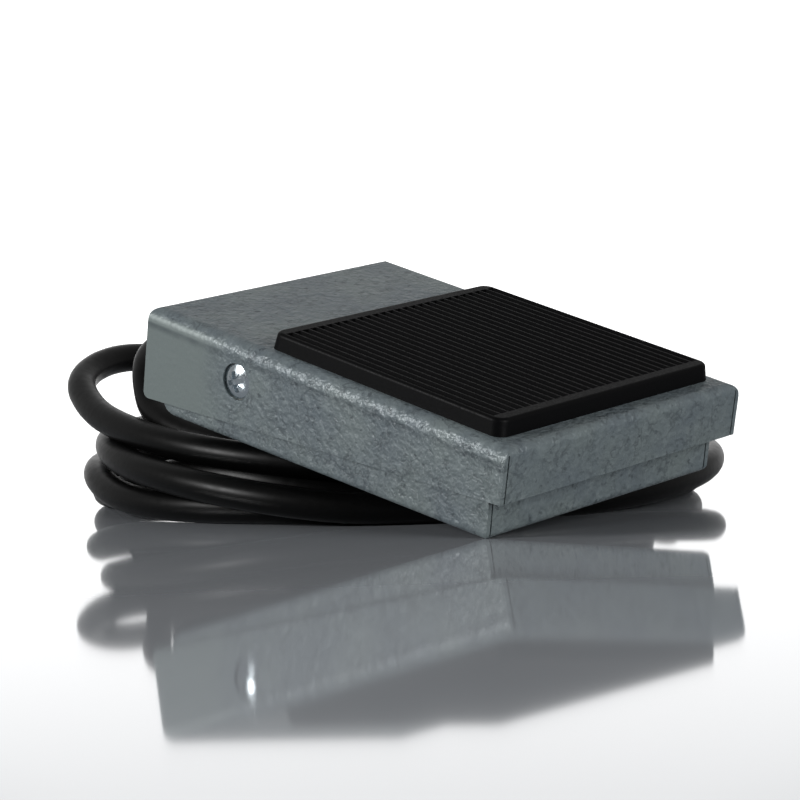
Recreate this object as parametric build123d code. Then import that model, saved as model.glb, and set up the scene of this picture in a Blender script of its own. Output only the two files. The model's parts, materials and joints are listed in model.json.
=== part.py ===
from build123d import *
import math
import os

# A small metal foot switch: a folded sheet cover pivots on a folded sheet base tray.
# All sizes are in millimetres. Pieces of the switch are built in the tray's own frame:
# X across, Y from the front edge to the back, Z up from the tray's underside.
# The cover's pieces are built level and then turned about the hinge to their rest angle.
# As pictured, the tray stands on one front corner and lies back on its own coiled lead.

# Sheet metal
SHEET = 1.0            # thickness of cover and tray
SEAM = 0.35            # open corner seam between two flanges
SEAM_START = 0.45      # where a seam starts, as a share of the fold's radius
PAINT_GAP = 0.02       # clearance of a fixed pin in its hole

# Cover
COVER_LENGTH = 100.0
COVER_WIDTH = 72.0
COVER_FOLD = 3.0       # outer radius of the cover's long folds
COVER_END_FOLD = 1.8   # of its front and back folds
FLANGE_CORNER = 1.4    # rounding of the flanges' lower back corners
COVER_FRONT_DEPTH = 11.0
COVER_BACK_DEPTH = 19.85
COVER_TOP_OVER_HINGE = 8.33
COVER_REST_ANGLE = 1.6   # the front is this much lower than the back
PEDAL_TRAVEL = 4.0       # degrees from rest to fully pressed

# Tray
TRAY_SIDE_INSET = 1.9    # from the cover's outer side to the tray's
TRAY_FRONT_INSET = 4.5
TRAY_BACK_INSET = 3.5
TRAY_FOLD = 1.5
TRAY_BACK_FOLD = 5.0
TRAY_WALL = 13.4         # height of front and side walls
TRAY_EAR = 18.4          # height of the side walls round the hinge
TRAY_EAR_FRONT = 11.0    # how far the raised wall runs in front of the hinge
TRAY_BACK_WALL = 17.0
TONGUE_WIDTH = 54.0      # raised middle of the back wall, the stop for the cover at rest
STOP_GAP = 0.3

# Hinge, one screw on each side
HINGE_Y = 72.6
HINGE_Z = 13.7
SCREW_R = 2.0
SCREW_HEAD_R = 3.6       # the head turns in the cover's hole and is its bearing
SCREW_OUT = 0.4          # crown of the head over the cover's side
SCREW_DOME = 0.9         # how much of the head's height is domed
HEAD_CLEAR = 0.25
RUNNING = 0.05
SPACER_R = 4.0
NUT_M4 = 7.0
NUT_M4_HIGH = 3.2
SCREW_PAST_NUT = 0.8
CROSS_LONG = 4.4
CROSS_WIDE = 1.1
CROSS_DEEP = 0.9
TICK_LONG = 6.0          # fine marks between the arms of the cross
TICK_WIDE = 0.28
TICK_DEEP = 0.35
CROSS_TURN = 20.0

# Rubber pad on the cover
PAD_WIDTH = 65.0
PAD_FRONT = 4.8
PAD_BACK = 67.5
PAD_HIGH = 3.5
PAD_CORNER = 2.6
PAD_TAPER = 0.45         # each side leans in by this much
PAD_EDGE = 0.8           # rounding of the upper edge
PAD_BORDER = 3.2         # plain border at the front and back of the ribs
RIB_COUNT = 27
RIB_PITCH = 2.242
RIB_CREST = 0.42
RIB_ROOT = 1.5
RIB_DEEP = 0.6
PLUG_R = 1.9             # moulded plugs that hold the pad in the cover
PLUG_HEAD_R = 2.9
PLUG_HEAD = 1.2
PLUG_X = 24.0
PLUG_IN = 8.0            # from the pad's front or back edge to a plug

# Micro switch on its bracket
CASE_X = 6.4
CASE_Y = 19.8
CASE_Z = 10.2
CASE_FRONT = 38.0
CASE_LOW = 6.0
CASE_HOLE_PITCH = 9.5
CASE_HOLE_UP = 2.9
M2_R = 1.0
M2_HEAD_R = 1.9
M2_HEAD = 1.3
M2_NUT = 4.0
M2_NUT_HIGH = 1.6
LEVER_BACK = 1.2         # from the case's back end to the lever's pin
LEVER_UP = 0.75          # pin over the top of the case
LEVER_PIN_R = 0.45
LEVER_SHEET = 0.35
LEVER_WIDE = 4.0
LEVER_LONG = 17.0
LEVER_ANGLE = 6.7
LEVER_LUG = 1.0
PRESS_Y = CASE_FRONT + 3.0    # where the cover's peg meets the lever
BUTTON_Y = CASE_FRONT + 8.5
BUTTON_X = 2.9
BUTTON_THICK = 1.2
BUTTON_LONG = 5.1
TOUCH = 0.06             # gap between the lever and the button
PEG_CLEAR = 0.2          # gap between the peg and the lever
LUG_THICK = 0.5
LUG_WIDE = 3.0
LUG_LONG = 3.6
LUG_END_IN = 2.5
LUG_EYE_DOWN = 0.62      # height of a lug's eye, as a share of the lug from the case
BRACKET = 1.2
BRACKET_LONG = 18.0
BRACKET_HIGH = 12.5      # top of the upright leaf over the tray's floor
BRACKET_FOOT = 13.0
STUD_R = 1.5
STUD_OUT = 7.5           # from the upright leaf to the studs
STUD_PITCH = 10.0
STUD_LONG = 6.0
NUT_M3 = 5.5
NUT_M3_HIGH = 2.4
ACTUATOR_R = 2.0

# Return spring
SPRING_Y = 22.0
SPRING_R = 4.3           # to the middle of the wire
SPRING_WIRE = 1.0
SPRING_TURNS = 6.0
SPRING_GAP = 0.3
SEAT_R = 3.1
SEAT_HIGH = 5.0
CAP_R = 5.4
CAP_RIM = 1.2
CAP_BOSS = 4.0

# Lead and its rubber strain relief
CORD_R = 3.3
EXIT_X = 24.0
EXIT_UP = 5.6            # centre of the lead over the end of the tray's back fold
GROMMET_R = 4.5
GROMMET_RIM_R = 5.5
GROMMET_RIM = 1.5
BOOT_R = 4.9
BOOT_TIP_R = 3.8
BOOT_LONG = 13.0
SLOT_GAP = 0.6
SHEATH_IN = 8.0          # lead inside the tray, past the grommet
TIE_WIDE = 2.5
TIE_THICK = 1.1
CORE_R = 0.8
CORE_GAP = 0.15
CORE_SIDE = 1.2          # from the lead's middle to a core
CORE_STEP = 8.0          # sideways step of a core between two bends
# Where the cores bend, as shares of the way from the sheath's end to the back lug
COMMON_BENDS = (0.16, 0.43, 0.7)
CONTACT_BENDS = (0.16, 0.35, 0.5, 0.82)
CORE_CLEAR = 4.0         # from the switch case to the core beside it

# How the switch lies
PITCH = 15.0             # back edge raised
ROLL = 7.54              # right side raised

# Coil of the lead under and behind the switch, in the finished part's frame
COIL_X = 38.0
COIL_Y = 46.0
COIL_INNER = 49.0
COIL_OUTER = 76.0
COIL_FOOT = 3.0          # rounding at the floor
COIL_TOP = 38.5
COIL_FRONT_TOP = 12.4    # height where the coil passes under the front of the tray
COIL_SLOPE = 0.21        # rise of the heap towards the back
COIL_SLOPE_Y = -10.0
COIL_GAP = 0.5           # under the tray

# The lead's loop from the boot down to the coil
LEAD_STRAIGHT = 6.5
LEAD_LOOP = [(23.6, 72.0, 45.6), (18.6, 79.9, 42.6), (10.6, 84.2, 39.6), (1.5, 84.3, 36.9),
             (-6.8, 79.8, 33.4), (-12.6, 73.6, 28.6), (-15.4, 66.0, 22.8)]

# Jack plug that ends the lead, lying inside the coil; the lead's last run sets where it lies
TAIL_ROUTE = [(36.0, -14.5, 8.6), (50.0, -11.5, 9.6), (60.0, -2.0, 9.6), (65.0, 9.0, 7.6),
              (64.5, 17.0, 7.0), (62.5, 24.0, 7.0)]
BARREL_R = 7.0
BARREL_LONG = 28.0
BARREL_CONE = 5.0
BARREL_EDGE = 1.0
PLUG_BOOT_LONG = 10.0
PLUG_BOOT_R = 5.0
COLLAR_R = 5.2
COLLAR_LONG = 3.0
SHANK_R = 3.175
SLEEVE_LONG = 19.0
RING_LONG = 1.2
TIP_LONG = 7.3
TIP_NECK_R = 2.35

# Worked out from the sizes above
HALF = COVER_WIDTH / 2
COVER_TOP = HINGE_Z + COVER_TOP_OVER_HINGE
COVER_UNDER = COVER_TOP - SHEET
TRAY_WIDTH = COVER_WIDTH - 2 * TRAY_SIDE_INSET
TRAY_LENGTH = COVER_LENGTH - TRAY_FRONT_INSET - TRAY_BACK_INSET
TRAY_HALF = TRAY_WIDTH / 2
TRAY_END = TRAY_FRONT_INSET + TRAY_LENGTH
HOLE_R = SCREW_HEAD_R + HEAD_CLEAR
HEAD_SEAT = HALF - SHEET - RUNNING
SCREW_HEAD = SHEET + RUNNING + SCREW_OUT
EXIT_Z = TRAY_BACK_FOLD + EXIT_UP
CASE_TOP = CASE_LOW + CASE_Z
CASE_BACK = CASE_FRONT + CASE_Y
CASE_MID = CASE_FRONT + CASE_Y / 2
LEVER_Y = CASE_BACK - LEVER_BACK
LEVER_Z = CASE_TOP + LEVER_UP
LEVER_ARM = LEVER_Y - PRESS_Y
BUTTON_ARM = LEVER_Y - BUTTON_Y
LEVER_SLOPE = math.tan(math.radians(LEVER_ANGLE))
LEVER_HALF_HIGH = LEVER_SHEET / 2 / math.cos(math.radians(LEVER_ANGLE))
BRACKET_X = CASE_X / 2
STUD_X = BRACKET_X + BRACKET + STUD_OUT - BRACKET
BOOT_END = TRAY_END + GROMMET_RIM + BOOT_LONG


def under_cover(y):
    """Height of the resting cover's underside at y."""
    lift = (y - HINGE_Y) * math.tan(math.radians(COVER_REST_ANGLE))
    return HINGE_Z + lift + (COVER_TOP_OVER_HINGE - SHEET) / math.cos(math.radians(COVER_REST_ANGLE))


# Pieces that hang from the cover reach down to what they push on
LEVER_TOP = LEVER_Z + LEVER_ARM * LEVER_SLOPE + LEVER_HALF_HIGH
ACTUATOR_DROP = under_cover(PRESS_Y) - LEVER_TOP - PEG_CLEAR
BUTTON_TOP = LEVER_Z + (BUTTON_ARM - BUTTON_THICK / 2) * LEVER_SLOPE - LEVER_HALF_HIGH - TOUCH
TONGUE_TOP = under_cover(TRAY_END - SHEET) - STOP_GAP
SPRING_TOP = under_cover(SPRING_Y) - CAP_RIM - SPRING_GAP


def rest_cover(shape):
    """Turns a piece of the level cover about the hinge to its rest angle."""
    hinge = Pos(0, HINGE_Y, HINGE_Z)
    return hinge * Rot(COVER_REST_ANGLE, 0, 0) * hinge.inverse() * shape


def rod(radius, long, x=0, y=0, z=0):
    """Upright round rod standing on x, y, z."""
    return Pos(x, y, z) * Cylinder(radius, long, align=(Align.CENTER, Align.CENTER, Align.MIN))


def cross_rod(radius, x0, x1, y, z):
    """Round rod along X."""
    base = Cylinder(radius, x1 - x0, align=(Align.CENTER, Align.CENTER, Align.MIN))
    return Pos(x0, y, z) * Rot(0, 90, 0) * base


def long_rod(radius, y0, y1, x, z):
    """Round rod along Y."""
    base = Cylinder(radius, y1 - y0, align=(Align.CENTER, Align.CENTER, Align.MIN))
    return Pos(x, y0, z) * Rot(-90, 0, 0) * base


def block(x0, x1, y0, y1, z0, z1):
    """Box between two corners."""
    return Pos((x0 + x1) / 2, (y0 + y1) / 2, (z0 + z1) / 2) * Box(x1 - x0, y1 - y0, z1 - z0)


def hex_prism(across, high):
    """Upright six-sided prism standing on the origin."""
    return extrude(RegularPolygon(across / 2, 6, major_radius=False), high)


def folded_form(width, length, high, side, front, back):
    """Closed form of a tray: rounded below along its sides, front and back."""
    across = Pos(0, high / 2) * Rectangle(width, high)
    across = fillet(across.vertices().group_by(Axis.Y)[0], side)
    along = Pos(length / 2, high / 2) * Rectangle(length, high)
    low = along.vertices().group_by(Axis.Y)[0].sort_by(Axis.X)
    along = fillet(low[0], front)
    low = along.vertices().filter_by(lambda v: v.X > length - 0.01).sort_by(Axis.Y)
    along = fillet(low[0], back)
    channel = extrude(Plane.XZ * across, -length)
    profile = Pos(-width, 0, 0) * extrude(Plane.YZ * along, 2 * width)
    return channel & profile


def folded_tray(width, length, high, side, front, back):
    """Open folded sheet tray, floor down, with an open seam at each upright corner."""
    outer = folded_form(width, length, high, side, front, back)
    inner = folded_form(
        width - 2 * SHEET, length - 2 * SHEET, high,
        side - SHEET, front - SHEET, back - SHEET,
    )
    tray = outer - Pos(0, SHEET, SHEET) * inner
    seam_x = width / 2 - SHEET - SEAM
    for sign in (-1, 1):
        for y0, fold in ((-SHEET, front), (length - SHEET, back)):
            start = SEAM_START * max(fold, side)
            x0, x1 = sorted((sign * seam_x, sign * (seam_x + SEAM)))
            tray -= block(x0, x1, y0, y0 + 2 * SHEET, start, high + 1)
    return tray


def pedal_cover():
    """Folded cover, deeper at the back, with holes for the hinge, pad plugs and lead."""
    deep = COVER_BACK_DEPTH
    tray = folded_tray(COVER_WIDTH, COVER_LENGTH, deep, COVER_FOLD, COVER_END_FOLD, COVER_END_FOLD)
    cover = Pos(0, 0, COVER_TOP) * Rot(0, 180, 0) * tray
    low_front = COVER_TOP - COVER_FRONT_DEPTH
    low_back = COVER_TOP - COVER_BACK_DEPTH
    below = Polyline((-1, low_front), (COVER_LENGTH, low_back), (COVER_LENGTH + 1, low_back - 2),
                     (-1, low_back - 2), close=True)
    below = extrude(Plane.YZ * make_face(below), COVER_WIDTH, both=True)
    cover -= below
    cover -= cross_rod(HOLE_R, -HALF - 1, HALF + 1, HINGE_Y, HINGE_Z)
    for x, y in pad_plug_places():
        cover -= rod(PLUG_R + PAINT_GAP, 3 * SHEET, x, y, COVER_UNDER - SHEET)
    cover -= rod(ACTUATOR_R + PAINT_GAP, 3 * SHEET, 0, PRESS_Y, COVER_UNDER - SHEET)
    slot = BOOT_R + SLOT_GAP
    slot_y0 = COVER_LENGTH - 2 * SHEET
    lead = long_rod(slot, slot_y0, COVER_LENGTH + 1, EXIT_X, EXIT_Z)
    way = block(EXIT_X - slot, EXIT_X + slot, slot_y0, COVER_LENGTH + 1, 0, EXIT_Z)
    cover = cover - lead - way
    corners = cover.edges().filter_by(Axis.X).filter_by(
        lambda e: e.center().Y > COVER_LENGTH - 0.01 and abs(e.center().Z - low_back) < 0.01
        and abs(e.center().X) > HALF - SHEET)
    return rest_cover(fillet(corners, FLANGE_CORNER))


def pad_plug_places():
    """Places of the four moulded plugs under the pad."""
    ys = (PAD_FRONT + PLUG_IN, PAD_BACK - PLUG_IN)
    return [(x, y) for x in (-PLUG_X, PLUG_X) for y in ys]


def rubber_pad():
    """Ribbed rubber pad with moulded plugs that hold it in the cover."""
    long = PAD_BACK - PAD_FRONT
    middle = (PAD_FRONT + PAD_BACK) / 2
    foot = RectangleRounded(PAD_WIDTH, long, PAD_CORNER)
    top = RectangleRounded(PAD_WIDTH - 2 * PAD_TAPER, long - 2 * PAD_TAPER, PAD_CORNER)
    pad = loft([foot, Pos(0, 0, PAD_HIGH) * top])
    pad = fillet(pad.faces().sort_by(Axis.Z)[-1].edges(), PAD_EDGE)
    wide = (RIB_PITCH - RIB_CREST) / 2
    narrow = (RIB_PITCH - RIB_ROOT) / 2
    section = Polyline((-narrow, -RIB_DEEP), (narrow, -RIB_DEEP), (wide, 0), (wide, RIB_DEEP),
                       (-wide, RIB_DEEP), (-wide, 0), close=True)
    groove = extrude(Plane.XZ * make_face(section), long / 2 - PAD_BORDER, both=True)
    places = [(i - RIB_COUNT / 2) * RIB_PITCH for i in range(RIB_COUNT + 1)]
    pad = pad - [Pos(x, 0, PAD_HIGH) * groove for x in places]
    pad = Pos(0, middle, COVER_TOP) * pad
    for x, y in pad_plug_places():
        head_z = COVER_UNDER - PLUG_HEAD
        pad += rod(PLUG_R, SHEET + PLUG_HEAD, x, y, head_z)
        pad += rod(PLUG_HEAD_R, PLUG_HEAD, x, y, head_z)
    return rest_cover(pad)


def actuator_peg():
    """Flush peg in the cover that pushes the switch lever."""
    drop = ACTUATOR_DROP
    peg = rod(ACTUATOR_R, SHEET + drop, 0, PRESS_Y, COVER_UNDER - drop)
    peg = fillet(peg.edges().sort_by(Axis.Z)[0], min(0.45 * drop, ACTUATOR_R / 2))
    return rest_cover(peg)


def spring_cap():
    """Nylon cap under the cover that centres the top of the spring."""
    cap = rod(CAP_R, CAP_RIM, 0, SPRING_Y, COVER_UNDER - CAP_RIM)
    boss_r = SPRING_R - SPRING_WIRE / 2 - SPRING_GAP
    boss = rod(boss_r, CAP_BOSS, 0, SPRING_Y, COVER_UNDER - CAP_RIM - CAP_BOSS)
    boss = chamfer(boss.edges().sort_by(Axis.Z)[0], 0.6)
    return rest_cover(cap + boss)


def base_tray():
    """Folded tray with raised side walls round the hinge and a stop tongue at the back."""
    tray = folded_tray(TRAY_WIDTH, TRAY_LENGTH, TONGUE_TOP, TRAY_FOLD, TRAY_FOLD, TRAY_BACK_FOLD)
    tray = Pos(0, TRAY_FRONT_INSET, 0) * tray
    ear = HINGE_Y - TRAY_EAR_FRONT
    run = TRAY_EAR - TRAY_WALL
    above = Polyline(
        (0, TRAY_WALL), (ear - run, TRAY_WALL), (ear, TRAY_EAR),
        (2 * HINGE_Y - ear, TRAY_EAR), (2 * HINGE_Y - ear + run, TRAY_BACK_WALL),
        (COVER_LENGTH, TRAY_BACK_WALL), (COVER_LENGTH, TONGUE_TOP + 1), (0, TONGUE_TOP + 1),
        close=True,
    )
    above = extrude(Plane.YZ * make_face(above), COVER_WIDTH, both=True)
    tongue = block(-TONGUE_WIDTH / 2, TONGUE_WIDTH / 2, TRAY_END - SHEET, TRAY_END + 1,
                   TRAY_BACK_WALL - 1, TONGUE_TOP + 1)
    tray -= above - tongue
    tray -= cross_rod(SCREW_R + PAINT_GAP, -HALF, HALF, HINGE_Y, HINGE_Z)
    tray -= long_rod(GROMMET_R + PAINT_GAP, TRAY_END - 3 * SHEET, TRAY_END + SHEET, EXIT_X, EXIT_Z)
    for x, y in stud_places():
        tray -= rod(STUD_R + PAINT_GAP, 2 * SHEET, x, y, -SHEET / 2)
    tray -= rod(seat_stem_r() + PAINT_GAP, 2 * SHEET, 0, SPRING_Y, -SHEET / 2)
    return tray


def pivot_screw(sign):
    """Screw with a low crowned head and a cross recess; its head is the cover's bearing."""
    dome = (SCREW_HEAD_R ** 2 + SCREW_DOME ** 2) / (2 * SCREW_DOME)
    head = rod(SCREW_HEAD_R, SCREW_HEAD) & Pos(0, 0, SCREW_HEAD - dome) * Sphere(dome)
    for turn in (0, 90):
        arm = Box(CROSS_LONG, CROSS_WIDE, 2 * CROSS_DEEP)
        tick = Rot(0, 0, 45) * Box(TICK_LONG, TICK_WIDE, 2 * TICK_DEEP)
        head -= Pos(0, 0, SCREW_HEAD) * Rot(0, 0, CROSS_TURN + turn) * (arm + tick)
    inner_end = TRAY_HALF - SHEET - NUT_M4_HIGH - SCREW_PAST_NUT
    long = HEAD_SEAT - inner_end
    screw = head + Pos(0, 0, -long) * Cylinder(SCREW_R, long, align=(Align.CENTER, Align.CENTER, Align.MIN))
    place = Pos(sign * HEAD_SEAT, HINGE_Y, HINGE_Z) * Rot(0, 90 * sign, 0)
    return place * screw


def pivot_nut(sign):
    """Hex nut on the inner end of a hinge screw."""
    nut = hex_prism(NUT_M4, NUT_M4_HIGH) - rod(SCREW_R + PAINT_GAP, 3 * NUT_M4_HIGH, z=-NUT_M4_HIGH)
    place = Pos(sign * (TRAY_HALF - SHEET), HINGE_Y, HINGE_Z) * Rot(0, -90 * sign, 0)
    return place * nut


def pivot_spacer(sign):
    """Nylon washer between the tray and the cover's flange."""
    inner = TRAY_HALF
    ends = sorted((sign * inner, sign * HEAD_SEAT))
    ring = cross_rod(SPACER_R, ends[0], ends[1], HINGE_Y, HINGE_Z)
    return ring - cross_rod(SCREW_R + PAINT_GAP, ends[0] - 1, ends[1] + 1, HINGE_Y, HINGE_Z)


def stud_places():
    """Places of the two studs that hold the switch bracket."""
    return [(STUD_X, CASE_MID + s * STUD_PITCH / 2) for s in (-1, 1)]


def case_hole_places():
    """Y and Z of the two mounting holes through the switch case."""
    z = CASE_LOW + CASE_HOLE_UP
    return [(CASE_MID + s * CASE_HOLE_PITCH / 2, z) for s in (-1, 1)]


def switch_bracket():
    """Angle bracket that carries the micro switch."""
    y0 = CASE_MID - BRACKET_LONG / 2
    y1 = CASE_MID + BRACKET_LONG / 2
    foot_end = BRACKET_X + BRACKET_FOOT
    leaf = block(BRACKET_X, BRACKET_X + BRACKET, y0, y1, SHEET, SHEET + BRACKET_HIGH)
    foot = block(BRACKET_X, foot_end, y0, y1, SHEET, SHEET + BRACKET)
    bracket = leaf + foot
    heel = bracket.edges().filter_by(Axis.Y).sort_by(lambda e: e.center().X + e.center().Z)[0]
    bracket = fillet(heel, BRACKET)
    for y, z in case_hole_places():
        bracket -= cross_rod(M2_R + PAINT_GAP, BRACKET_X - 1, BRACKET_X + 2 * BRACKET, y, z)
    for x, y in stud_places():
        bracket -= rod(STUD_R + PAINT_GAP, 3 * BRACKET, x, y, 0)
    return bracket


def bracket_studs():
    """Two flush press-in studs in the tray's floor."""
    return [rod(STUD_R, STUD_LONG, x, y, 0) for x, y in stud_places()]


def bracket_nuts():
    """Two nuts on the bracket's studs."""
    nut = hex_prism(NUT_M3, NUT_M3_HIGH) - rod(STUD_R + PAINT_GAP, 3 * NUT_M3_HIGH, z=-NUT_M3_HIGH)
    return [Pos(x, y, SHEET + BRACKET) * nut for x, y in stud_places()]


def switch_case():
    """Case of the micro switch with a pocket for its button and lugs for its lever."""
    half = CASE_X / 2
    case = block(-half, half, CASE_FRONT, CASE_BACK, CASE_LOW, CASE_TOP)
    case = chamfer(case.edges().filter_by(Axis.X), 0.4)
    for sign in (-1, 1):
        ends = sorted((sign * half, sign * (half - LEVER_LUG)))
        case += block(ends[0], ends[1], LEVER_Y - LEVER_LUG, LEVER_Y + LEVER_LUG,
                      CASE_TOP - 1, LEVER_Z + 0.85 * LEVER_LUG)
    case -= cross_rod(LEVER_PIN_R + RUNNING, -half - 1, half + 1, LEVER_Y, LEVER_Z)
    case -= block(-half + LEVER_LUG, half - LEVER_LUG, LEVER_Y - LEVER_LUG, LEVER_Y + LEVER_LUG,
                  LEVER_Z - LEVER_UP, LEVER_Z + LEVER_LUG)
    case -= button_form(RUNNING, BUTTON_TOP - BUTTON_LONG - button_travel() - 2 * RUNNING)
    for y, z in case_hole_places():
        case -= cross_rod(M2_R + PAINT_GAP, -half - 1, half + 1, y, z)
    return case


def button_travel():
    """Travel of the button when the pedal is fully pressed."""
    return BUTTON_ARM * math.sin(math.radians(lever_travel()))


def lever_travel():
    """Turn of the lever, in degrees, when the pedal is fully pressed."""
    return PEDAL_TRAVEL * (HINGE_Y - PRESS_Y) / LEVER_ARM


def button_form(room, low):
    """Button or, with some room round it, its pocket, down to the height given."""
    x = BUTTON_X / 2 + room
    y = BUTTON_THICK / 2 + room
    return block(-x, x, BUTTON_Y - y, BUTTON_Y + y, low, CASE_TOP + 1)


def switch_button():
    """Push button of the micro switch, rounded on top."""
    x = BUTTON_X / 2
    body = block(-x, x, BUTTON_Y - BUTTON_THICK / 2, BUTTON_Y + BUTTON_THICK / 2,
                 BUTTON_TOP - BUTTON_LONG, BUTTON_TOP)
    top = body.edges().filter_by(Axis.X).group_by(Axis.Z)[-1]
    return fillet(top, 0.45 * BUTTON_THICK)


def switch_lever():
    """Spring-steel lever on its pin."""
    plate = block(-LEVER_WIDE / 2, LEVER_WIDE / 2, -LEVER_LONG, 0, -LEVER_SHEET / 2, LEVER_SHEET / 2)
    tip = plate.edges().filter_by(Axis.Z).group_by(Axis.Y)[0]
    plate = fillet(tip, 0.3 * LEVER_WIDE)
    pin = cross_rod(LEVER_PIN_R, -CASE_X / 2, CASE_X / 2, 0, 0)
    return Pos(0, LEVER_Y, LEVER_Z) * Rot(-LEVER_ANGLE, 0, 0) * (plate + pin)


def terminal_places():
    """Y of the three solder lugs."""
    return [CASE_FRONT + LUG_END_IN, CASE_MID, CASE_BACK - LUG_END_IN]


def switch_terminals():
    """Three solder lugs under the switch case."""
    lugs = []
    for y in terminal_places():
        lug = block(-LUG_WIDE / 2, LUG_WIDE / 2, y - LUG_THICK / 2, y + LUG_THICK / 2,
                    CASE_LOW - LUG_LONG, CASE_LOW)
        eye_z = CASE_LOW - LUG_EYE_DOWN * LUG_LONG
        lugs.append(lug - long_rod(0.28 * LUG_WIDE, y - LUG_THICK, y + LUG_THICK, 0, eye_z))
    return lugs


def switch_screws():
    """Two small screws through the switch case and bracket."""
    end = BRACKET_X + BRACKET + M2_NUT_HIGH + 0.5
    screws = []
    for y, z in case_hole_places():
        head = cross_rod(M2_HEAD_R, -BRACKET_X - M2_HEAD, -BRACKET_X, y, z)
        slot = block(-BRACKET_X - M2_HEAD - 1, -BRACKET_X - 0.45 * M2_HEAD, y - 3, y + 3, z - 0.25, z + 0.25)
        screws.append((head - slot) + cross_rod(M2_R, -BRACKET_X, end, y, z))
    return screws


def switch_nuts():
    """Two nuts on the small screws."""
    nut = hex_prism(M2_NUT, M2_NUT_HIGH) - rod(M2_R + PAINT_GAP, 3 * M2_NUT_HIGH, z=-M2_NUT_HIGH)
    place = Rot(0, 90, 0) * nut
    return [Pos(BRACKET_X + BRACKET, y, z) * place for y, z in case_hole_places()]


def seat_stem_r():
    """Radius of the seat's stem in the tray's floor."""
    return 0.6 * SEAT_R


def spring_seat():
    """Turned seat, riveted flush in the floor, that centres the foot of the spring."""
    seat = rod(SEAT_R, SEAT_HIGH - SHEET, 0, SPRING_Y, SHEET)
    seat = chamfer(seat.edges().sort_by(Axis.Z)[-1], 0.6)
    return seat + rod(seat_stem_r(), SHEET, 0, SPRING_Y, 0)


def return_spring():
    """Compression spring between the tray's floor and the cover."""
    wire = SPRING_WIRE / 2
    low = SHEET + wire + PAINT_GAP
    rise = SPRING_TOP - low - wire
    path = Helix(rise / SPRING_TURNS, rise, SPRING_R)
    start = Plane(origin=path @ 0, z_dir=path % 0)
    spring = sweep(start * Circle(wire), path=path, is_frenet=True)
    return Pos(0, SPRING_Y, low) * spring


def strain_relief():
    """Rubber grommet in the back wall with a tapered boot round the lead."""
    wall = TRAY_END - SHEET
    rim_in = long_rod(GROMMET_RIM_R, wall - GROMMET_RIM, wall, EXIT_X, EXIT_Z)
    neck = long_rod(GROMMET_R, wall, TRAY_END, EXIT_X, EXIT_Z)
    rim_out = long_rod(GROMMET_RIM_R, TRAY_END, TRAY_END + GROMMET_RIM, EXIT_X, EXIT_Z)
    boot = Cone(BOOT_R, BOOT_TIP_R, BOOT_LONG, align=(Align.CENTER, Align.CENTER, Align.MIN))
    boot = Pos(EXIT_X, TRAY_END + GROMMET_RIM, EXIT_Z) * Rot(-90, 0, 0) * boot
    bore = long_rod(CORD_R, wall - 3 * GROMMET_RIM, BOOT_END + 1, EXIT_X, EXIT_Z)
    return rim_in + neck + rim_out + boot - bore


def cord_inside():
    """The lead's sheath from inside the tray to the end of the boot."""
    return long_rod(CORD_R, TRAY_END - SHEET - GROMMET_RIM - SHEATH_IN, BOOT_END, EXIT_X, EXIT_Z)


def cord_tie():
    """Nylon tie round the sheath, so that the lead can't be pulled out."""
    y1 = TRAY_END - SHEET - GROMMET_RIM - PAINT_GAP
    ring = long_rod(CORD_R + TIE_THICK, y1 - TIE_WIDE, y1, EXIT_X, EXIT_Z)
    head_z = EXIT_Z + CORD_R + TIE_THICK / 2
    head = block(EXIT_X - 2, EXIT_X + 2, y1 - 1.3 * TIE_WIDE, y1, head_z, head_z + 3.2)
    return ring + head - long_rod(CORD_R, y1 - 3 * TIE_WIDE, y1 + 1, EXIT_X, EXIT_Z)


def tube(points, radius):
    """Round tube along straight runs joined by arcs as large as the runs allow."""
    places = [Vector(*p) for p in points]
    runs = [places[i + 1] - places[i] for i in range(len(places) - 1)]
    radii = []
    for a, b in zip(runs[:-1], runs[1:]):
        half_turn = math.radians(a.get_angle(b)) / 2
        radii.append(0.45 * min(a.length, b.length) / math.tan(half_turn))
    path = FilletPolyline(*places, radius=radii)
    ring = Plane(origin=path @ 0, z_dir=path % 0) * Circle(radius)
    solid = sweep(ring, path=path)
    print("tube", round(path.length, 1), "mm long, least radius", round(min(radii), 1),
          "volume over section times length", round(solid.volume / (math.pi * radius ** 2 * path.length), 4))
    return solid


def core_ways(shares):
    """Y where the cores start, where they bend and where the back lug is."""
    start = TRAY_END - SHEET - GROMMET_RIM - SHEATH_IN
    end = terminal_places()[2] + LUG_THICK / 2 + CORE_GAP
    return start, [start - share * (start - end) for share in shares], end


def core_common():
    """Insulated core from the lead to the back lug."""
    start, bends, end = core_ways(COMMON_BENDS)
    z = CASE_LOW - LUG_EYE_DOWN * LUG_LONG
    x = EXIT_X - CORE_SIDE
    return tube([(x, start, EXIT_Z), (x, bends[0], EXIT_Z), (x - CORE_STEP, bends[1], (EXIT_Z + z) / 2),
                 (0, bends[2], z), (0, end, z)], CORE_R)


def core_contact():
    """Insulated core from the lead to the front lug."""
    start, bends, end = core_ways(CONTACT_BENDS)
    z = CASE_LOW - LUG_EYE_DOWN * LUG_LONG
    side = -BRACKET_X - CORE_CLEAR
    front = terminal_places()[0]
    x = EXIT_X - CORE_SIDE
    low = EXIT_Z - 2 * CORE_R - CORE_GAP
    under = z + (low - z) / 4
    return tube([(x, start, low), (x, bends[0], low), (x - CORE_STEP, bends[1], under),
                 (x - 2.3 * CORE_STEP, bends[2], under), (side, bends[3], z), (side, front + CORE_STEP, z),
                 (-LUG_WIDE / 2 - CORE_GAP - CORE_R, front - LUG_THICK, z)], CORE_R)


def turned(profile):
    """Solid turned about Z from a list of radius and height."""
    return revolve(Plane.XZ * make_face(Polyline(*profile, close=True)), Axis.Z)


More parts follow.
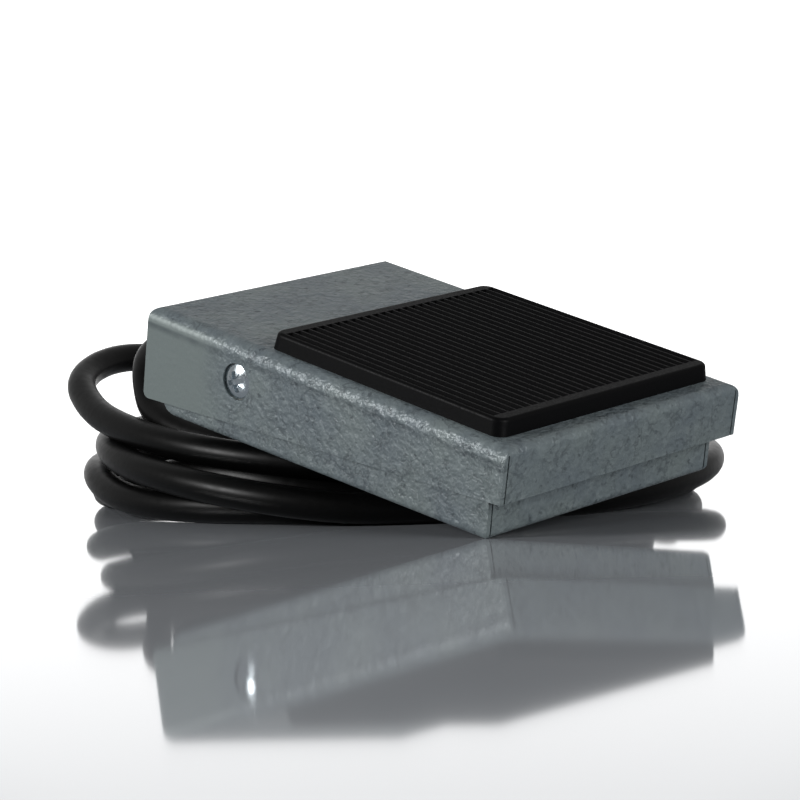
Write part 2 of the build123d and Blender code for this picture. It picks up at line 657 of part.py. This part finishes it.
def plug_place(shape):
    """Puts a piece of the plug, built along Z from its cord end, where the plug lies."""
    before, start = TAIL_ROUTE[-2:]
    heading = math.degrees(math.atan2(start[1] - before[1], start[0] - before[0]))
    return Pos(*start) * Rot(0, 0, heading) * Rot(0, 90, 0) * shape


def plug_boot():
    """Rubber sleeve between the lead and the plug."""
    return plug_place(Cone(CORD_R + 0.8, PLUG_BOOT_R, PLUG_BOOT_LONG,
                           align=(Align.CENTER, Align.CENTER, Align.MIN)))


def plug_barrel():
    """Screw-on metal barrel of the jack plug."""
    low = PLUG_BOOT_LONG
    top = low + BARREL_LONG
    barrel = turned([(0, low), (0.8 * BARREL_R, low), (BARREL_R, low + BARREL_CONE),
                     (BARREL_R, top - BARREL_EDGE), (BARREL_R - BARREL_EDGE, top), (0, top)])
    return plug_place(barrel)


def plug_sleeve():
    """Collar and sleeve contact of the jack plug."""
    low = PLUG_BOOT_LONG + BARREL_LONG
    sleeve = rod(COLLAR_R, COLLAR_LONG, z=low) + rod(SHANK_R, SLEEVE_LONG, z=low + COLLAR_LONG)
    return plug_place(sleeve)


def plug_ring():
    """Insulating ring between sleeve and tip."""
    return plug_place(rod(SHANK_R, RING_LONG, z=plug_sleeve_end()))


def plug_sleeve_end():
    """Distance from the plug's cord end to the end of its sleeve."""
    return PLUG_BOOT_LONG + BARREL_LONG + COLLAR_LONG + SLEEVE_LONG


def plug_tip():
    """Tip contact with its waist."""
    low = plug_sleeve_end() + RING_LONG
    waist = [(SHANK_R, 0.16), (TIP_NECK_R, 0.36), (SHANK_R, 0.55), (0.87 * SHANK_R, 0.74), (0.28 * SHANK_R, 1.0)]
    side = [(radius, low + share * TIP_LONG) for radius, share in waist]
    tip = turned([(0, low), (SHANK_R, low), *side, (0, low + TIP_LONG)])
    return plug_place(tip)


def cord_coil(tray_floor):
    """Outer shape of the coiled lead: a heap under the tray, higher at the back."""
    wide = COIL_OUTER - COIL_INNER
    section = Pos((COIL_INNER + COIL_OUTER) / 2, COIL_TOP / 2) * Rectangle(wide, COIL_TOP)
    section = fillet(section.vertices(), COIL_FOOT)
    ring = Pos(COIL_X, COIL_Y, 0) * revolve(Plane.XZ * section, Axis.Z)
    reach = 4 * COIL_OUTER
    under = tray_floor * Pos(0, 0, -COIL_GAP + reach / 2) * Box(reach, reach, reach)
    lean = math.degrees(math.atan(COIL_SLOPE))
    heap = Pos(0, COIL_SLOPE_Y, COIL_FRONT_TOP) * Rot(lean, 0, 0) * Pos(0, 0, reach / 2)
    return ring - under - heap * Box(reach, reach, reach)


def lead_route(exit_point, exit_way):
    """Route of the lead from the boot down to the coil."""
    first = exit_point + exit_way * LEAD_STRAIGHT
    return [tuple(exit_point), tuple(first)] + LEAD_LOOP


def switch_nodes():
    """The switch's own pieces, in the tray's frame."""
    return {
        "base_tray": base_tray(),
        "pedal_cover": pedal_cover(),
        "rubber_pad": rubber_pad(),
        "actuator_peg": actuator_peg(),
        "spring_cap": spring_cap(),
        "return_spring": return_spring(),
        "spring_seat": spring_seat(),
        "pivot_screw_left": pivot_screw(-1),
        "pivot_screw_right": pivot_screw(1),
        "pivot_nut_left": pivot_nut(-1),
        "pivot_nut_right": pivot_nut(1),
        "pivot_spacer_left": pivot_spacer(-1),
        "pivot_spacer_right": pivot_spacer(1),
        "switch_bracket": switch_bracket(),
        "bracket_studs": bracket_studs(),
        "bracket_nuts": bracket_nuts(),
        "switch_case": switch_case(),
        "switch_button": switch_button(),
        "switch_lever": switch_lever(),
        "switch_terminals": switch_terminals(),
        "switch_screws": switch_screws(),
        "switch_nuts": switch_nuts(),
        "core_common": core_common(),
        "core_contact": core_contact(),
        "cord_tie": cord_tie(),
    }


def lead_nodes():
    """The lead's pieces that are built in the tray's frame."""
    return {"strain_relief": strain_relief(), "cord_inside": cord_inside()}


def as_one(shape):
    """A list of separate solids as one compound."""
    return Compound(children=list(shape)) if isinstance(shape, list) else shape


tilt = Location((0, 0, 0), (PITCH, -ROLL, 0))
own = {name: as_one(shape) for name, shape in switch_nodes().items()}
box = Compound(children=[tilt * shape for shape in own.values()]).bounding_box()
shift = Pos(-(box.min.X + box.max.X) / 2, -(box.min.Y + box.max.Y) / 2, -box.min.Z)
place = shift * tilt
own = {name: place * shape for name, shape in own.items()}
own.update({name: place * shape for name, shape in lead_nodes().items()})

exit_point = (place * Pos(EXIT_X, BOOT_END, EXIT_Z)).position
exit_way = (place * Pos(EXIT_X, BOOT_END + 1, EXIT_Z)).position - exit_point
own.update({
    "cord_lead": tube(lead_route(exit_point, exit_way), CORD_R),
    "cord_coil": cord_coil(place),
    "cord_tail": tube(TAIL_ROUTE, CORD_R),
    "plug_boot": plug_boot(),
    "plug_barrel": plug_barrel(),
    "plug_sleeve": plug_sleeve(),
    "plug_ring": plug_ring(),
    "plug_tip": plug_tip(),
})

os.makedirs("parts", exist_ok=True)
for name, shape in own.items():
    shape.label = name
    export_step(shape, f"parts/{name}.step")
print(len(own), "nodes written")
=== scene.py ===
import bpy
import json
import math
from mathutils import Matrix, Vector


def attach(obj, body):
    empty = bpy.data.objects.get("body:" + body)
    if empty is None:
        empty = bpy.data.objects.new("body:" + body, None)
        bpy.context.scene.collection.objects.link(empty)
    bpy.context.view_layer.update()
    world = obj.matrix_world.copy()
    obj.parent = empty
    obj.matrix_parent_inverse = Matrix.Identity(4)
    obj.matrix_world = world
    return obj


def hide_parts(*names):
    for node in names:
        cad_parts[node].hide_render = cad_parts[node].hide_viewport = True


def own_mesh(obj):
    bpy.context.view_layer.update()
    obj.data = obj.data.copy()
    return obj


# A small hammertone foot switch lying back on its own coiled lead.
# Sizes are written in millimetres and turned to metres by mm().

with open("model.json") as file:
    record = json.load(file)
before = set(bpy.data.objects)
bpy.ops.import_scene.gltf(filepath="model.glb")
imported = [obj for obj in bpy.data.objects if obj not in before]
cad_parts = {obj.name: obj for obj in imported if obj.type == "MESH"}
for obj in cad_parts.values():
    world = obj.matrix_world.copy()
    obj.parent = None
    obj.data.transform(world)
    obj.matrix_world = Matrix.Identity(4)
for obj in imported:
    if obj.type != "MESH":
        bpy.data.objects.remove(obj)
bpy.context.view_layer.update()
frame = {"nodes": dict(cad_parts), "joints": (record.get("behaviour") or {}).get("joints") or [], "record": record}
NODES = frame["nodes"]
JOINTS = {joint["name"]: joint for joint in frame["joints"]}


def mm(*values):
    """Millimetres to metres: one number, or a point as a tuple."""
    scaled = tuple(value / 1000 for value in values)
    return scaled[0] if len(scaled) == 1 else scaled


def link(name, data):
    """Makes an object from its data and puts it in the scene."""
    made = bpy.data.objects.new(name, data)
    bpy.context.scene.collection.objects.link(made)
    return made


# Camera, solved from the photograph: low, in front of the left front corner
CAMERA_PLACE = mm(-427.92, -381.56, 47.88)
CAMERA_AHEAD = Vector((0.73699, 0.67471, -0.0402))
CAMERA_UP = Vector((0.05172, 0.003, 0.99866))
FOCAL_PIXELS = 2771.25
PHOTO_PIXELS = 800
SENSOR = 36.0


def photo_camera():
    """The camera at the photograph's place and angle."""
    data = bpy.data.cameras.new("photo_camera")
    data.sensor_width = SENSOR
    data.lens = FOCAL_PIXELS / PHOTO_PIXELS * SENSOR
    data.clip_start = 0.05
    data.clip_end = 50
    camera = link("photo_camera", data)
    back = -CAMERA_AHEAD.normalized()
    right = CAMERA_UP.cross(back).normalized()
    up = back.cross(right)
    turn = Matrix((right, up, back)).transposed().to_4x4()
    camera.matrix_world = Matrix.Translation(CAMERA_PLACE) @ turn
    bpy.context.scene.camera = camera


photo_camera()

# The lead's radius and route in millimetres, its length in metres
CORD_R = 3.3
# Out of the boot and round a tight turn to the left, down to the coil
LEAD_ROUTE = [
    (23.91, 58.08, 44.61), (23.91, 63.5, 46.06), (23.5, 72.0, 45.9), (18.6, 79.9, 42.8), (10.6, 84.2, 39.6),
    (1.5, 84.3, 36.9), (-5.2, 81.6, 34.2), (-10.0, 77.4, 31.2), (-13.0, 73.8, 27.2), (-15.4, 69.8, 23.2),
    (-17.8, 62.4, 20.2),
]
# From the coil's end to the plug
TAIL_ROUTE = [
    (36.0, -14.0, 9.7), (50.0, -12.0, 9.9), (62.5, -4.5, 9.9), (67.0, 8.0, 7.8), (64.5, 17.0, 7.0),
    (62.5, 24.0, 7.0),
]
COIL_CENTRE = (37.7, 46.3)
POINTS_A_TURN = 24
# The coil seen from above, from its left side round by the front: turn in degrees, radius, height
COIL_KEYS = [
    (170, 56.4, 18.2), (185, 56.2, 15.6), (200, 55.2, 12.6), (220, 53.4, 7.6), (245, 51.8, 3.3),
    (270, 51.6, 3.3), (360, 50.8, 3.3), (380, 52.5, 5.0), (405, 58.0, 10.5), (430, 63.0, 14.6),
    (450, 65.0, 17.6), (461, 65.2, 17.4), (474, 64.8, 15.8), (488, 64.6, 16.2), (505, 65.0, 14.5),
    (520, 66.6, 12.3), (540, 69.0, 9.3), (552, 71.0, 7.4), (563, 71.8, 5.3), (575, 71.8, 3.5),
    (590, 71.6, 3.3), (625, 71.8, 3.3), (650, 71.6, 6.2), (672, 70.8, 8.6), (690, 70.4, 8.9),
    (720, 69.0, 9.0), (790, 67.8, 9.8), (810, 67.0, 10.8), (850, 68.4, 9.2), (865, 67.6, 7.6),
    (875, 67.0, 5.0), (885, 66.4, 3.8), (892, 66.0, 3.3), (902, 65.6, 3.3), (990, 65.2, 3.3),
    (1010, 65.4, 3.3), (1032, 66.0, 3.3), (1080, 66.0, 3.3), (1170, 67.5, 3.3), (1200, 68.8, 3.3),
    (1215, 66.2, 3.3), (1228, 61.8, 4.4), (1245, 60.2, 9.4), (1258, 60.2, 10.6), (1270, 60.8, 9.6),
    (1280, 61.2, 7.8), (1298, 59.8, 4.2), (1312, 58.8, 3.3), (1365, 59.2, 3.4), (1380, 60.6, 6.2),
    (1392, 62.6, 10.4), (1408, 62.2, 10.6), (1425, 60.5, 9.4), (1440, 59.2, 8.4), (1460, 58.8, 11.0),
    (1485, 62.0, 19.0), (1510, 65.5, 27.0), (1530, 68.0, 32.2), (1541, 70.2, 34.2), (1552, 72.8, 33.6),
    (1563, 74.2, 30.0), (1572, 71.8, 25.6), (1580, 68.0, 22.5), (1592, 64.6, 19.7), (1605, 63.2, 17.5),
    (1620, 62.8, 15.2), (1645, 62.0, 12.0), (1670, 61.2, 10.2), (1700, 60.4, 9.6),
]


def eased(keys, turn):
    """Radius and height at a turn, along straight lines between the keys."""
    for (a, ra, za), (b, rb, zb) in zip(keys, keys[1:]):
        if turn <= b:
            share = (turn - a) / (b - a)
            return ra + share * (rb - ra), za + share * (zb - za)


def coil_route():
    """Control points of the coil's turns."""
    step = 360 / POINTS_A_TURN
    outward = 1 / math.cos(math.radians(step / 2))
    first = COIL_KEYS[0][0]
    count = int((COIL_KEYS[-1][0] - first) / step)
    points = []
    for i in range(count + 1):
        turn = first + i * step
        radius, height = eased(COIL_KEYS, turn)
        a = math.radians(turn)
        x = COIL_CENTRE[0] + radius * outward * math.cos(a)
        y = COIL_CENTRE[1] + radius * outward * math.sin(a)
        points.append((x, y, height))
    return points


def cord_curve():
    """The whole lead as one smooth open spline."""
    data = bpy.data.curves.new("lead", "CURVE")
    data.dimensions = "3D"
    data.bevel_depth = 1.0  # times each point's radius
    data.bevel_resolution = 10
    data.resolution_u = 6
    data.use_fill_caps = True
    route = LEAD_ROUTE + coil_route() + TAIL_ROUTE
    spline = data.splines.new("NURBS")
    spline.points.add(len(route) - 1)
    for point, place in zip(spline.points, route):
        point.co = (*mm(*place), 1)
        point.radius = mm(CORD_R)
    spline.order_u = 3
    spline.use_endpoint_u = True
    return link("lead", data)


cord = cord_curve()
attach(cord, "base")
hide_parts("cord_lead", "cord_coil", "cord_tail")


# The switch lies pitched back and rolled to its left, as the hinge's axis says
HINGE = JOINTS["pedal_hinge"]
HINGE_Y = 72.6
HINGE_Z = 13.7
PITCH = math.radians(15.0)
ROLL = math.radians(-7.54)
TILT = Matrix.Rotation(PITCH, 3, "X") @ Matrix.Rotation(ROLL, 3, "Y")
SWITCH_TURN = TILT.to_euler("XYZ")
SWITCH_PLACE = Vector(HINGE["pos_m"]) - TILT @ Vector(mm(0, HINGE_Y, HINGE_Z))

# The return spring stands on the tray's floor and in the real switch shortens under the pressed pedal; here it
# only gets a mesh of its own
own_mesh(NODES["return_spring"])


# Materials
def colour(code):
    """sRGB hex to linear."""
    out = []
    for i in (1, 3, 5):
        c = int(code[i:i + 2], 16) / 255
        out.append(c / 12.92 if c <= 0.04045 else ((c + 0.055) / 1.055) ** 2.4)
    return (*out, 1.0)


def node(tree, kind, settings, inputs):
    """Adds a node; an input takes a number, a vector, a colour or another node's output."""
    made = tree.nodes.new(kind)
    for name, value in settings.items():
        setattr(made, name, value)
    for key, value in inputs.items():
        if isinstance(value, bpy.types.NodeSocket):
            tree.links.new(value, made.inputs[key])
        else:
            made.inputs[key].default_value = value
    return made


def material(name, **values):
    """A new material; its Principled surface takes the values that are the same all over."""
    made = bpy.data.materials.new(name)
    made.use_nodes = True
    tree = made.node_tree
    surface = tree.nodes["Principled BSDF"]
    for key, value in values.items():
        surface.inputs[key.replace("_", " ")].default_value = value
    return made, tree, surface


def ramp(tree, value, low, high, out_low=0.0, out_high=1.0):
    """A value's range carried over to another, held at both ends."""
    made = node(tree, "ShaderNodeMapRange", {}, {"Value": value, "From Min": low, "From Max": high,
                                                 "To Min": out_low, "To Max": out_high})
    return made.outputs["Result"]


def switch_coordinates(tree):
    """Coordinates in millimetres along the tray's own across, length and height."""
    place = tree.nodes.new("ShaderNodeTexCoord").outputs["Object"]
    turned = node(tree, "ShaderNodeMapping", {"vector_type": "TEXTURE"},
                  {"Vector": place, "Location": SWITCH_PLACE, "Rotation": SWITCH_TURN, "Scale": mm(1, 1, 1)})
    return turned.outputs["Vector"]


def set_all(piece, made):
    """Gives a piece one material."""
    piece.data.materials.clear()
    piece.data.materials.append(made)


# Sizes of the enamel's pattern, in millimetres
CLOUD = 14.0   # soft changes of tone
PATCH = 6.0    # areas with and without marks
WORM = 3.4     # spacing of the short curved marks
SPECK = 1.7    # small dark specks
CELL = 2.4     # lighter beaten cells
RIPPLE = 1.2   # fine skin
RELIEF = 0.5   # depth of the skin

# Places on the tray's own axes, in millimetres
FLANK_FROM, FLANK_TO = 35.2, 35.7  # across, where the cover's sides begin
PLAIN_FROM, PLAIN_TO = 74.0, 84.0  # along, where the sides' paint turns smooth
FOLD_SHADE_LINE = 16.7     # height of the painted shade line under the cover's long folds, at its front
FOLD_ABOVE = 0.5     # above it the line fades out over this height
FOLD_BELOW = 0.3     # below it the line begins to fade here
FOLD_LOWEST = 1.4    # and is gone here
COVER_RISE = 0.0279  # slope of the resting cover along the tray


def maths(tree, operation, *values):
    """Result of one operation on its values."""
    return node(tree, "ShaderNodeMath", {"operation": operation}, dict(enumerate(values))).outputs[0]


def product(tree, a, b):
    """Product of two values."""
    return maths(tree, "MULTIPLY", a, b)


def tint(tree, share, under, over):
    """Lays a colour over another by a share."""
    return node(tree, "ShaderNodeMix", {"data_type": "RGBA"}, {0: share, 6: under, 7: over}).outputs[2]


def grain(tree, place, size, detail=2.0):
    """Noise whose pattern has the size given in the place's own units."""
    noise = node(tree, "ShaderNodeTexNoise", {}, {"Vector": place, "Scale": 1 / size, "Detail": detail})
    return noise.outputs["Fac"]


def hammertone():
    """Hammertone enamel: rippled satin skin, cloudy tone, short marks sunk in the skin and darkened as painted
    shade in their pits.
    """
    made, tree, surface = material("hammertone_enamel", Metallic=0.15, Roughness=0.44,
                                   Coat_Weight=0.08, Coat_Roughness=0.15)
    place = switch_coordinates(tree)
    axes = node(tree, "ShaderNodeSeparateXYZ", {}, {"Vector": place}).outputs
    across = maths(tree, "ABSOLUTE", axes["X"])
    flank = ramp(tree, across, FLANK_FROM, FLANK_TO)
    plain = product(tree, flank, ramp(tree, axes["Y"], PLAIN_FROM, PLAIN_TO))
    rough = maths(tree, "SUBTRACT", 1.0, plain)
    # Short curved marks, in patches, sunk in the skin below; their dark colour is painted shade in the pits
    away = maths(tree, "ABSOLUTE", maths(tree, "SUBTRACT", grain(tree, place, WORM, 3.0), 0.5))
    patches = ramp(tree, grain(tree, place, PATCH, 3.0), 0.42, 0.6)
    worms = product(tree, ramp(tree, away, 0.004, 0.05, 0.5, 0.0), patches)
    specks = ramp(tree, grain(tree, place, SPECK, 3.0), 0.6, 0.72, 0.0, 0.7)
    marks = product(tree, maths(tree, "MAXIMUM", worms, specks), rough)
    # Painted shade: a dark line under the cover's long folds, where the fold shades the side
    height = node(tree, "ShaderNodeVectorMath", {"operation": "DOT_PRODUCT"},
                  {0: place, 1: (0, -COVER_RISE, 1)}).outputs["Value"]
    below = ramp(tree, height, FOLD_SHADE_LINE - FOLD_LOWEST, FOLD_SHADE_LINE - FOLD_BELOW)
    above = ramp(tree, height, FOLD_SHADE_LINE, FOLD_SHADE_LINE + FOLD_ABOVE, 1.0, 0.0)
    fold_shade = product(tree, product(tree, below, above), flank)
    fold_shade = product(tree, fold_shade, ramp(tree, grain(tree, place, PATCH), 0.3, 0.6, 0.1, 0.6))
    # Colour, from the clouds up to the marks
    clouds = ramp(tree, grain(tree, place, CLOUD, 4.0), 0.38, 0.62)
    cells = ramp(tree, grain(tree, place, CELL, 3.0), 0.5, 0.68, 0.0, 0.45)
    tone = tint(tree, clouds, colour("#687277"), colour("#737d7e"))
    tone = tint(tree, cells, tone, colour("#828c8e"))
    tone = tint(tree, plain, tone, colour("#76807f"))
    # painted shade under the long folds
    tone = tint(tree, fold_shade, tone, colour("#454e52"))
    # the marks' dark colour is painted shade in the enamel's pits
    tone = tint(tree, marks, tone, colour("#3c4449"))
    tree.links.new(tone, surface.inputs["Base Color"])
    # Beaten skin, sunk a little at the marks
    skin = maths(tree, "MULTIPLY_ADD", grain(tree, place, CELL), 0.8, grain(tree, place, RIPPLE))
    skin = maths(tree, "MULTIPLY_ADD", marks, -0.3, skin)
    strength = ramp(tree, rough, 0.0, 1.0, 0.1, 0.6)
    bump = node(tree, "ShaderNodeBump", {}, {"Height": skin, "Strength": strength, "Distance": mm(RELIEF)})
    tree.links.new(bump.outputs[0], surface.inputs["Normal"])
    tree.links.new(bump.outputs[0], surface.inputs["Coat Normal"])
    return made


def grained(name, code, roughness, size, uneven, relief, **values):
    """Plain colour with fine grain in its gloss and skin; size and relief in millimetres."""
    made, tree, surface = material(name, Base_Color=colour(code), **values)
    place = tree.nodes.new("ShaderNodeTexCoord").outputs["Object"]
    noise = grain(tree, place, mm(size), 3.0)
    gloss = ramp(tree, noise, 0.3, 0.7, roughness - uneven, roughness + uneven)
    tree.links.new(gloss, surface.inputs["Roughness"])
    bump = node(tree, "ShaderNodeBump", {}, {"Height": noise, "Strength": 0.3, "Distance": mm(relief)})
    tree.links.new(bump.outputs[0], surface.inputs["Normal"])
    return made


# What each material gives the eye is in its comment
FINISHES = {
    # Grey-green satin enamel with a beaten skin
    "hammertone_paint": hammertone(),
    # Dull black moulding, grey only where light skims the ribs
    "pad_rubber": grained("moulded_rubber", "#070708", 0.46, 0.5, 0.08, 0.04, Specular_IOR_Level=0.08),
    # Black sheath with long soft highlights
    "cord_jacket": grained("pvc_sheath", "#070707", 0.36, 1.5, 0.04, 0.01, Specular_IOR_Level=0.14),
    # Softer, duller black than the sheath
    "boot_rubber": grained("soft_rubber", "#0d0d0d", 0.5, 0.8, 0.06, 0.03, Specular_IOR_Level=0.25),
    # Bright blue-white plating on screws and nuts
    "zinc_steel": grained("bright_zinc_plate", "#cfd8dd", 0.2, 0.4, 0.08, 0.01, Metallic=1.0),
    # Grey wire and lever, brushed by drawing
    "spring_steel": grained("drawn_spring_steel", "#9a9b9c", 0.3, 0.3, 0.08, 0.01, Metallic=1.0),
    # Pale yellow lugs
    "terminal_brass": grained("tinned_brass", "#cbb88c", 0.35, 0.4, 0.08, 0.01, Metallic=1.0),
    # Warm bright plating of the plug
    "plug_nickel": grained("nickel_plate", "#c9c6bf", 0.2, 0.6, 0.06, 0.005, Metallic=1.0),
    # Waxy off-white washers, cap and tie
    "white_nylon": grained("natural_nylon", "#dcd9cf", 0.45, 0.5, 0.05, 0.01),
    # Dense black case
    "case_plastic": grained("phenolic_moulding", "#1b1b1c", 0.4, 0.4, 0.05, 0.01),
    # Small red button
    "button_plastic": grained("red_acetal", "#a5271f", 0.35, 0.4, 0.05, 0.005),
    # Brown and blue wires
    "core_brown": grained("brown_insulation", "#4a2c1b", 0.4, 0.4, 0.05, 0.01),
    "core_blue": grained("blue_insulation", "#2a4f8f", 0.4, 0.4, 0.05, 0.01),
}
slots = {part["node"]: part["material_slot"] for part in frame["record"]["subparts"]}
for name, piece in NODES.items():
    set_all(piece, FINISHES[slots[name]])
set_all(cord, FINISHES["cord_jacket"])


# Floor, world and lamps
def glossy_floor():
    """Pale polished floor that mirrors the switch."""
    size = 8.0
    data = bpy.data.meshes.new("floor")
    corners = [(x, y, 0) for x, y in ((-size, -size), (size, -size), (size, size), (-size, size))]
    data.from_pydata(corners, [], [(0, 1, 2, 3)])
    floor = link("floor", data)
    made = material("polished_pale_acrylic", Base_Color=colour("#a9adb2"), Roughness=0.05, IOR=1.5)[0]
    set_all(floor, made)


def studio_world():
    """White all round, brightest low behind the switch and dim behind the camera."""
    world = bpy.data.worlds.new("studio")
    bpy.context.scene.world = world
    world.use_nodes = True
    tree = world.node_tree
    background = tree.nodes["Background"]
    camera_ray = tree.nodes.new("ShaderNodeLightPath").outputs["Is Camera Ray"]
    direction = tree.nodes.new("ShaderNodeTexCoord").outputs["Generated"]
    ahead = node(tree, "ShaderNodeVectorMath", {"operation": "DOT_PRODUCT"},
                 {0: direction, 1: tuple(CAMERA_AHEAD)}).outputs["Value"]
    wide = ramp(tree, ahead, -0.2, 0.7, 0.12, 0.36)
    low = ramp(tree, ahead, 0.86, 0.97, 0.0, 1.4)
    strength = maths(tree, "MAXIMUM", maths(tree, "ADD", wide, low), camera_ray)
    tree.links.new(strength, background.inputs["Strength"])
    background.inputs["Color"].default_value = (1, 1, 1, 1)


def lamp(name, place, size, power):
    """Soft square lamp aimed at the switch."""
    data = bpy.data.lights.new(name, "AREA")
    data.shape = "SQUARE"
    data.size = size
    data.energy = power
    made = link(name, data)
    made.location = place
    made.rotation_euler = (Vector(LAMP_AIM) - Vector(place)).to_track_quat("-Z", "Y").to_euler()


LAMP_AIM = mm(0, 0, 30)
glossy_floor()
studio_world()
lamp("key", (-0.95, 0.5, 0.4), 0.3, 8.5)
lamp("fill", (-0.1, -1.2, 0.25), 0.7, 10.0)
bpy.context.scene.view_settings.view_transform = "Standard"
